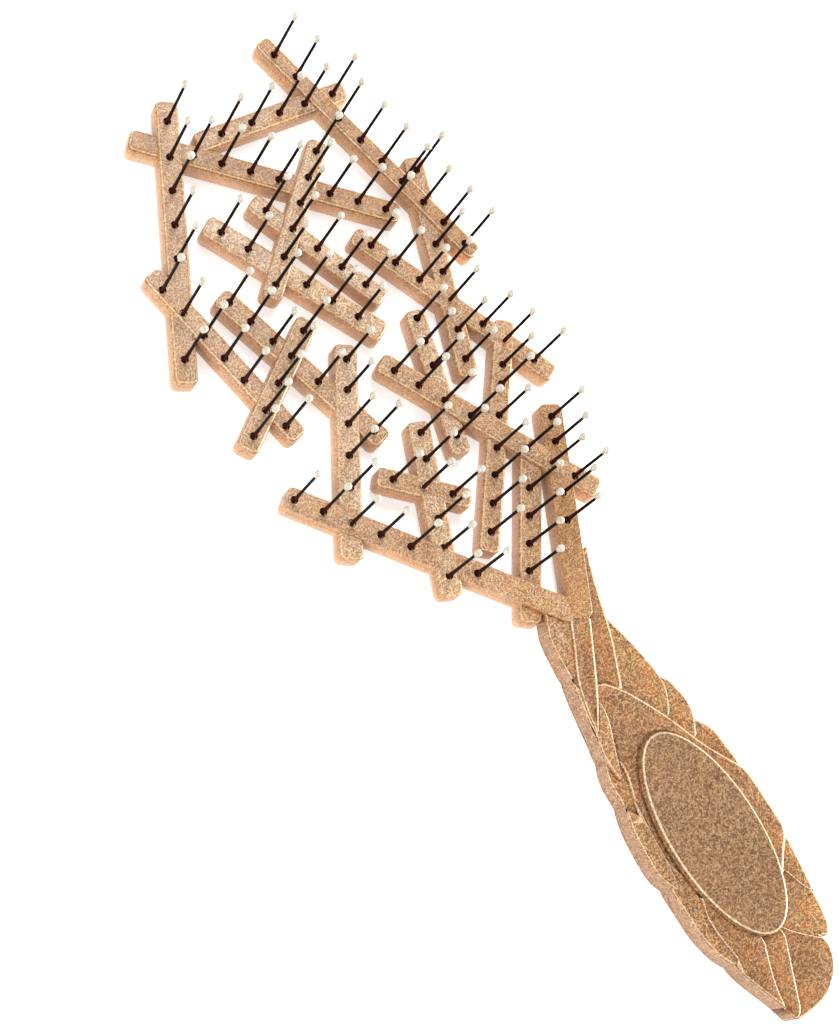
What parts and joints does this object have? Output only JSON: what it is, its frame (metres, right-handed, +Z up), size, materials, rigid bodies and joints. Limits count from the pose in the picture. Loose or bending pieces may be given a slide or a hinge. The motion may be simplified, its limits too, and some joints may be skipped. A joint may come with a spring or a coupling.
{
  "type": "detangling brush",
  "caption": "Vented detangling brush with a head of crossing flat twigs, ball-tipped pins and a leaf-bundle grip with a bare oval.",
  "frame": {"origin": "on the ground under the middle of the brush, which lies on its back", "axes": "+Y along the brush towards the crown of the head, +Z up along the pins, +X to the right seen with the pins towards the viewer and the head up"},
  "size_m": [0.0748, 0.2291, 0.0248],
  "materials": {
    "straw_plastic": "satin",
    "pin_nylon": "gloss",
    "bead_plastic": "gloss"
  },
  "bodies": {
    "root": {"twig_a": "straw_plastic", "twig_b": "straw_plastic", "twig_c": "straw_plastic", "twig_d": "straw_plastic", "twig_e": "straw_plastic", "twig_f": "straw_plastic", "twig_g": "straw_plastic", "twig_h": "straw_plastic", "twig_i": "straw_plastic", "twig_j": "straw_plastic", "twig_k": "straw_plastic", "twig_l": "straw_plastic", "twig_m": "straw_plastic", "twig_n": "straw_plastic", "twig_o": "straw_plastic", "twig_p": "straw_plastic", "twig_q": "straw_plastic", "twig_r": "straw_plastic", "twig_s": "straw_plastic", "twig_t": "straw_plastic", "twig_u": "straw_plastic", "strand_band": "straw_plastic", "strand_left_top": "straw_plastic", "strand_left_upper": "straw_plastic", "strand_left_side": "straw_plastic", "strand_left_lower": "straw_plastic", "strand_left_end": "straw_plastic", "strand_end_middle": "straw_plastic", "strand_middle": "straw_plastic", "strand_neck": "straw_plastic", "strand_right_top": "straw_plastic", "strand_right_upper": "straw_plastic", "strand_right_fork": "straw_plastic", "strand_right_side": "straw_plastic", "strand_right_lower": "straw_plastic", "strand_end_tip": "straw_plastic", "strand_right_end": "straw_plastic", "name_oval": "straw_plastic", "pins": "pin_nylon", "tips": "bead_plastic"}
  },
  "joints": []
}
